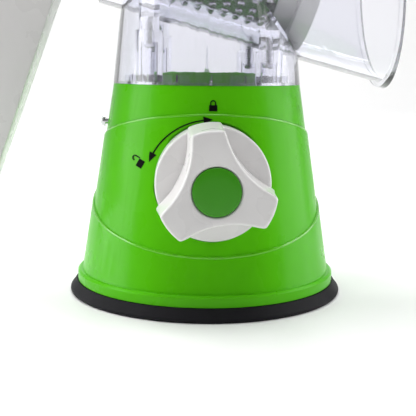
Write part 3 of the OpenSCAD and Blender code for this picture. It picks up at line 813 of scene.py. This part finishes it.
def ribbon(pairs):
    """A closed strip of ink along pairs of (x, z) points, one on each side."""
    start = len(mark_points)
    for pair in pairs:
        for lift in (INK_LIFT, INK_LIFT - INK_DEPTH):
            mark_points.extend(on_skin(x, z, lift) for x, z in pair)
    last = start + 4 * (len(pairs) - 1)
    for i in range(start, last, 4):
        j = i + 4
        mark_faces.extend([(i, j, j + 1, i + 1), (i + 2, i + 3, j + 3, j + 2)])
        mark_faces.extend([(i, i + 2, j + 2, j), (i + 1, j + 1, j + 3, i + 3)])
    mark_faces.extend([(start, start + 1, start + 3, start + 2), (last, last + 2, last + 3, last + 1)])


print("front of the base at the knob:", round(on_skin(0, KNOB_AT.z, 0).y, 4))

# %% [markdown]
# The arrow is an arc of even width, and each head is a short stretch of the same arc that
# widens from its tip to its back.

# %% Arrow
ARC_R, ARC_DOWN, LINE_W = 0.0287, 0.0019, 0.00055
ARC_FROM, ARC_STEP, ARC_POINTS = 97, 1.5, 38
HEAD_HALF_W, TIP_HALF_W, HEAD_STEPS = 0.0016, 0.00002, 10


def round_knob(r, degrees):
    turn = math.radians(degrees)
    return (r * math.cos(turn), KNOB_AT.z - ARC_DOWN + r * math.sin(turn))


def across_arc(half_width, degrees):
    return round_knob(ARC_R - half_width, degrees), round_knob(ARC_R + half_width, degrees)


ribbon([across_arc(LINE_W / 2, ARC_FROM + ARC_STEP * i) for i in range(ARC_POINTS)])
for tip, back in ((89.5, 97.5), (160.5, 152.0)):
    shares = [i / HEAD_STEPS for i in range(HEAD_STEPS + 1)]
    ribbon([across_arc(HEAD_HALF_W * t + TIP_HALF_W, tip + (back - tip) * t) for t in shares])
print("arrow faces:", len(mark_faces))

# %% [markdown]
# A padlock is a block with a bow over it. Shut, both legs of the bow stand in the block.
# Open, the bow is swung over to one side and its free leg ends in the air.

# %% Padlocks
LOCK_HALF_W, LOCK_H, BOW_R, BOW_HALF_T = 0.0018, 0.0026, 0.00105, 0.00026
LEG, LIFTED_LEG, FREE_LEG = 0.0009, 0.0009, 0.0007


def padlock(x, z, turn, lifted):
    """A padlock mark at (x, z), turned by an angle in degrees; lifted opens its bow."""
    c, s = math.cos(math.radians(turn)), math.sin(math.radians(turn))

    def put_at(u, v):
        return (x + u * c - v * s, z + u * s + v * c)

    w = LOCK_HALF_W
    ribbon([(put_at(u, 0), put_at(u, LOCK_H)) for u in (-w, -w / 2, 0, w / 2, w)])
    spring = LOCK_H + LEG + (LIFTED_LEG if lifted else 0)
    bow = [(-BOW_R, LOCK_H)]
    bow += [(BOW_R * math.cos(math.radians(a)), spring + BOW_R * math.sin(math.radians(a)))
            for a in range(180, -1, -20)]
    bow.append((BOW_R, LOCK_H + (FREE_LEG + LIFTED_LEG if lifted else 0)))
    if lifted:
        bow = [(BOW_R - u, v) for u, v in bow]
    pairs = []
    for i, (u, v) in enumerate(bow):
        (au, av), (bu, bv) = bow[max(i - 1, 0)], bow[min(i + 1, len(bow) - 1)]
        share = BOW_HALF_T / math.hypot(bu - au, bv - av)
        nu, nv = -(bv - av) * share, (bu - au) * share
        pairs.append((put_at(u - nu, v - nv), put_at(u + nu, v + nv)))
    ribbon(pairs)


padlock(0.0004, 0.0900, 0, False)
padlock(-0.0298, 0.0655, 62, True)
piece("lock_marks", mark_points, mark_faces, "base", marking_ink, slot="black_rubber")
print("marks:", len(mark_faces), "faces")

# %% [markdown]
# ## The drum
# Polished sheet steel rolled into a tube. Its sheet is thin, so the tube is turned from a
# profile with both walls, and its back edge is broken a little.

# %% Drum tube
DRUM_R, SHEET, DRUM_BACK, DRUM_FRONT, BROKEN_EDGE = 0.030, 0.0008, -0.0455, 0.0455, 0.0003

tube = [(DRUM_R - SHEET, DRUM_BACK), (DRUM_R - BROKEN_EDGE, DRUM_BACK), (DRUM_R, DRUM_BACK + BROKEN_EDGE)]
tube += [(DRUM_R, DRUM_FRONT), (DRUM_R - SHEET, DRUM_FRONT)]
turned("drum_tube", tube, "rotor", drum_steel, on_axis(), turns=128, instead_of=["drum_shell"])
print("drum:", round(2 * DRUM_R / MM), "mm across")

# %% [markdown]
# Hundreds of small raised hoods do the grating. One is modelled, from few faces: half a
# dome, cut flat in front and hollowed a little. It lies with X outwards, because the rows
# tree sets each copy with X away from the axis.

# %% One hood
HOOD_R, HOOD_H, SIDES, TIERS = 0.0019, 0.0016, 12, 4
SUNK, FRONT_Y, HOLLOW_Y, HOLLOW_FROM = 0.0003, 0.0004, -0.0003, 0.62

hood, hood_faces = [], []
for tier in range(TIERS):
    lift = math.radians(90 * tier / TIERS)
    for i in range(SIDES):
        turn = 2 * math.pi * i / SIDES
        x = HOOD_H * math.sin(lift) - SUNK
        y, z = HOOD_R * math.cos(lift) * math.cos(turn), HOOD_R * math.cos(lift) * math.sin(turn)
        if y > FRONT_Y:
            at_edge = math.hypot(z / HOOD_R, max(x, 0) / HOOD_H) > HOLLOW_FROM
            y = FRONT_Y if at_edge else HOLLOW_Y
        hood.append((x, y, z))
        j, up = (i + 1) % SIDES, (tier + 1) * SIDES
        if tier < TIERS - 1:
            hood_faces.append((tier * SIDES + i, tier * SIDES + j, up + j, up + i))
        else:
            hood_faces.append((tier * SIDES + i, tier * SIDES + j, up))
hood.append((HOOD_H - SUNK, 0, 0))
hood_faces.append(tuple(range(SIDES - 1, -1, -1)))
print("a hood has", len(hood_faces), "faces")

# %% [markdown]
# The hoods stand in rings along the tube, every second ring half a step on from the last.
# The white ring at the mouth and the green end keep their shapes, with softer edges.

# %% Teeth, ring and end
TOOTH_RINGS = {"Rows": 13, "Around": 30, "Radius": DRUM_R, "Start": -0.0415, "Pitch": 0.00625, "Stagger": 0.5,
               "Turn": DRUM_TURN, "Move": tuple(AXIS_AT)}

grow("drum_teeth", rows_tree, (hood, hood_faces), TOOTH_RINGS, "rotor", steel, smooth_angle=50)
softened("drum_ring", 0.9, segments=4)
softened("drum_end", 0.5)
print("hoods:", TOOTH_RINGS["Rows"] * TOOTH_RINGS["Around"])

# %% [markdown]
# ## Screws
# Self-tapping screws stand in the clear posts with their points up. A screw is turned
# from one profile with a saw-tooth thread that narrows to the point: a true helix would
# need far more faces and would look the same at this size.

# %% The shape of a screw
THREAD_FROM, PITCH, POINT_PITCHES, ROOT = 0.0004, 0.0011, 3.2, 0.74


def screw_shape(r, length, head_r, head_h, turns=16):
    """Points and faces of a screw standing on its head, with its seat at height 0."""
    profile = [(0, -head_h), (head_r * 0.5, -head_h), (head_r * 0.9, -head_h * 0.8)]
    profile += [(head_r, -head_h * 0.35), (head_r, 0), (r * 0.8, 0)]
    z = THREAD_FROM
    while z < length - PITCH:
        narrow = min(1.0, (length - z) / (POINT_PITCHES * PITCH))
        crest, root = r * narrow, r * ROOT * narrow
        profile += [(root, z), (crest, z + PITCH * 0.5), (root, z + PITCH * 0.9)]
        z += PITCH
    return lathe(profile + [(0, length)], turns, closed=False)


print("screw faces:", len(screw_shape(0.0015, 0.012, 0.0029, 0.0022)[1]))

# %% [markdown]
# Four screws hold the housing on its posts, three hold the clear floor, and four hold the
# plate under the base. The points tree sets each kind. The posts end in a slanted plane,
# so the height of a screw there follows from its place.

# %% Screws in their places
SPLIT_Z, SPLIT_SLOPE, ROOF = 0.1215, 0.16, 0.006
POSTS = [(-0.0277, -0.0196), (0.0277, -0.0196), (-0.023, 0.025), (0.023, 0.025)]
DECK_SCREW_Z, DECK_SCREWS = 0.0984, [(0, -0.034), (0.034, 0.006), (-0.034, 0.006)]
PLATE_RING_R, PLATE_Z = 0.046, 0.0125


def post_top(x):
    return SPLIT_Z - SPLIT_SLOPE * x


print("post tops:", [round(post_top(x), 4) for x, y in POSTS])
grow("post_screws", points_tree, screw_shape(0.0015, 0.012, 0.0029, 0.0022, turns=20), STILL, "base", steel,
     instead_of=["housing_screws"], spots=[(x, y, post_top(x) - ROOF) for x, y in POSTS])
grow("floor_screws", points_tree, screw_shape(0.0015, 0.0056, 0.0029, 0.0022), STILL, "base", steel,
     instead_of=["deck_screws"], spots=[(x, y, DECK_SCREW_Z) for x, y in DECK_SCREWS])
grow("underside_screws", points_tree, screw_shape(0.0013, 0.011, 0.0028, 0.0018), STILL, "base", steel,
     instead_of=["plate_screws"], spots=[around(PLATE_RING_R, PLATE_Z, i + 0.5, 4) for i in range(4)])

# %% [markdown]
# One more screw stands out of the base's side. It has a low dome for a head, so it is
# turned by itself and laid along X. Two screws hidden in the knob and hub are rounded.

# %% Side screw and hidden screws
side_low, side_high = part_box("side_screw")
SIDE_HEAD_H, SIDE_HEAD_R, SIDE_R, SIDE_LEN = 0.0022, 0.0026, 0.0015, 0.0070

side_profile = [(0, -SIDE_HEAD_H), (0.0012, -0.0021), (0.0021, -0.0016), (SIDE_HEAD_R, -0.0006)]
side_profile += [(SIDE_HEAD_R, 0), (SIDE_R, 0), (SIDE_R, SIDE_LEN), (0, SIDE_LEN)]
side_at = Matrix.Translation((side_low.x + SIDE_HEAD_H, 0, (side_low.z + side_high.z) / 2))
turned("cover_screw", side_profile, "base", steel, side_at @ Matrix.Rotation(math.pi / 2, 4, "Y"),
       turns=32, closed=False, instead_of=["side_screw"])
for hidden in ("knob_screw", "hub_screw"):
    softened(hidden, 0.3, segments=2)
print("side screw at height", round((side_low.z + side_high.z) / 2, 4))

# %% [markdown]
# ## The clear mouldings
# The column, the drum housing and the chute are one clear plastic. A clear edge is where
# the light gathers, so the column's and the chute's are rounded. The housing stays as the
# solid is: where its round walls meet, a bevel would leave a ragged line.

# %% Clear column and chute
for moulding, width, segments in (("clear_column", 0.5, 3), ("feed_chute", 0.7, 4)):
    print(softened(moulding, width, segments=segments).name)

# %% [markdown]
# The column's floor is a flat ring with four hollow posts on it, each with a thin roof
# that the housing's screw passes through. They are turned pieces, so the posts keep the
# clean round walls that make the light run down them.

# %% Clear floor and posts
FLOOR_Z, FLOOR_T, FLOOR_IN, FLOOR_OUT = 0.1011, 0.0012, 0.0245, 0.0429
POST_R, POST_BORE, SCREW_HOLE, POST_EDGE, ROOF_UP = 0.0062, 0.0034, 0.0019, 0.0006, 0.0005
POST_FOOT = FLOOR_Z + FLOOR_T + 0.0001

floor_ring = [(FLOOR_IN, FLOOR_Z), (FLOOR_OUT, FLOOR_Z)]
floor_ring += [(FLOOR_OUT, FLOOR_Z + FLOOR_T), (FLOOR_IN, FLOOR_Z + FLOOR_T)]
turned("clear_deck", floor_ring, "base", clear_plastic, turns=128, instead_of=["clear_floor"])
for n, (x, y) in enumerate(POSTS, 1):
    top = post_top(x)
    roof = top - ROOF + ROOF_UP
    post = [(POST_BORE, POST_FOOT), (POST_R, POST_FOOT), (POST_R, top - POST_EDGE), (POST_R - POST_EDGE, top)]
    post += [(SCREW_HOLE, top), (SCREW_HOLE, roof), (POST_BORE, roof)]
    turned("post_%d" % n, post, "base", clear_plastic, Matrix.Translation((x, y, 0)), turns=48)
print("posts:", len(POSTS))

# %% [markdown]
# Low ribs stiffen the floor like the spokes of a wheel, so the rows tree makes them, as
# one row of bars. A thin pin is left standing at the middle, where the plastic flowed in.

# %% Floor ribs and gate pin
RIB_HALF_L, RIB_HALF_W, RIB_LOW, RIB_HIGH = 0.0075, 0.0005, -0.0002, 0.0032
RIB_ROW = {"Rows": 1, "Around": 16, "Radius": 0.0325, "Start": 0.1024, "Pitch": 0.0, "Stagger": 0.0, **STILL}

rib = [(x, y, z) for x in (-RIB_HALF_L, RIB_HALF_L) for y in (-RIB_HALF_W, RIB_HALF_W)
       for z in (RIB_LOW, RIB_HIGH)]
rib_faces = [(0, 1, 3, 2), (4, 6, 7, 5), (0, 4, 5, 1), (2, 3, 7, 6), (0, 2, 6, 4), (1, 5, 7, 3)]
grow("floor_ribs", rows_tree, (rib, rib_faces), RIB_ROW, "base", clear_plastic)
pin = [(0, 0.1068), (0.0016, 0.1068), (0.0012, 0.1078), (0.0006, 0.109), (0.0003, 0.119), (0, 0.1195)]
turned("gate_pin", pin, "base", clear_plastic, turns=20, closed=False)
print("pin:", round((pin[-1][1] - pin[0][1]) / MM, 1), "mm high")

# %% [markdown]
# ## Crank
# The arm is a tapering bar whose long edges are well rounded, so that it is easy on the
# hand: the same bevel as elsewhere, only much wider. The cap behind the housing and the
# shaft's bush keep their shapes.

# %% Crank arm, rear cap and bush
softened("rear_cap", 1.0, segments=4)
softened("shaft_bush", 0.3)
arm = softened("crank_arm", 3.2, segments=6, limit=30, flat=3)
print("arm faces:", len(arm.data.polygons))

# %% [markdown]
# The handle is turned, with a waist for the fingers and three fine grooves. Its outline
# is a sine curve that grows deeper along the handle, so the waist sits past the middle.

# %% Handle
HAND_AT = Vector(joints["handle_spin"]["pos_m"])
HAND_R = ((HAND_AT - AXIS_AT) - AXIS * (HAND_AT - AXIS_AT).dot(AXIS)).length
HAND_END, HAND_LEN, HAND_BORE, HAND_FOOT, HAND_STEPS = -0.141, 0.052, 0.0041, 0.0024, 24
WIDE_R, WAIST_DEPTH, TAPER, WAIST_LEN = 0.0142, 0.0034, 0.0016, HAND_LEN - 0.0044
GROOVE_DEPTH, GROOVE_STEPS, END_R = 0.0006, (4, 6, 8), 0.0018

handle = [(HAND_BORE, 0.0035), (0.0095, 0.0032), (0.0095, 0.0)]
handle += arc(0.0118, HAND_FOOT, HAND_FOOT, -90, 0)
for i in range(1, HAND_STEPS + 1):
    t = i / HAND_STEPS
    r = WIDE_R - WAIST_DEPTH * math.sin(math.pi * t) ** 1.2 * (0.55 + 0.45 * t) - TAPER * t
    z = HAND_FOOT + t * WAIST_LEN
    handle.append((r, z))
    if i in GROOVE_STEPS:
        handle += [(r - GROOVE_DEPTH, z + 0.0003), (r - GROOVE_DEPTH, z + 0.0009), (r, z + 0.0012)]
handle += arc(handle[-1][0] - END_R, HAND_LEN - END_R, END_R, 10, 90, 5) + [(HAND_BORE, HAND_LEN)]
turned("crank_knob", handle, "handle", white_plastic, on_axis(HAND_END, HAND_R),
       instead_of=["crank_handle"], smooth_angle=40)
print("crank circle:", round(2 * HAND_R / MM), "mm across")

# %% [markdown]
# Two green caps close the handle's end and the arm's hub. Both are low domes with a
# rounded rim, which differ only in size, so one function gives their profile.

# %% Green caps on the crank
ARM_BACK, CAP_RIM = -0.088, 0.0006


def low_dome(r, back, rim_back, rim_z, crown):
    """A cap's profile: flat at the back, with a rounded rim and a slightly domed face."""
    profile = [(0, back), (r, back), (r, rim_back)] + arc(r - CAP_RIM, rim_z, CAP_RIM, 0, -80, 4)
    return profile + [(0.005, crown + 0.0003), (0, crown)]


handle_dome = low_dome(r=0.0093, back=0.003, rim_back=0.0008, rim_z=0.0006, crown=-0.0008)
turned("crank_knob_cap", handle_dome, "handle", green_cap, on_axis(HAND_END, HAND_R),
       turns=72, closed=False, instead_of=["handle_cap"])
hub_dome = low_dome(r=0.0088, back=0.0024, rim_back=0.0002, rim_z=0.0, crown=-0.0013)
turned("hub_badge", hub_dome, "rotor", green_cap, on_axis(ARM_BACK),
       turns=72, closed=False, instead_of=["hub_cap"])
print("caps have", len(handle_dome), "profile points")

# %% [markdown]
# ## Pusher
# A clear cup that fits the chute, under a green grip. The cup's edges are rounded like
# the chute's, and the grip's much more, since a palm presses on it.

# %% Pusher
for pusher_part, width, segments in (("pusher_body", 0.7, 4), ("pusher_grip", 2.2, 5)):
    print(softened(pusher_part, width, segments=segments).name)
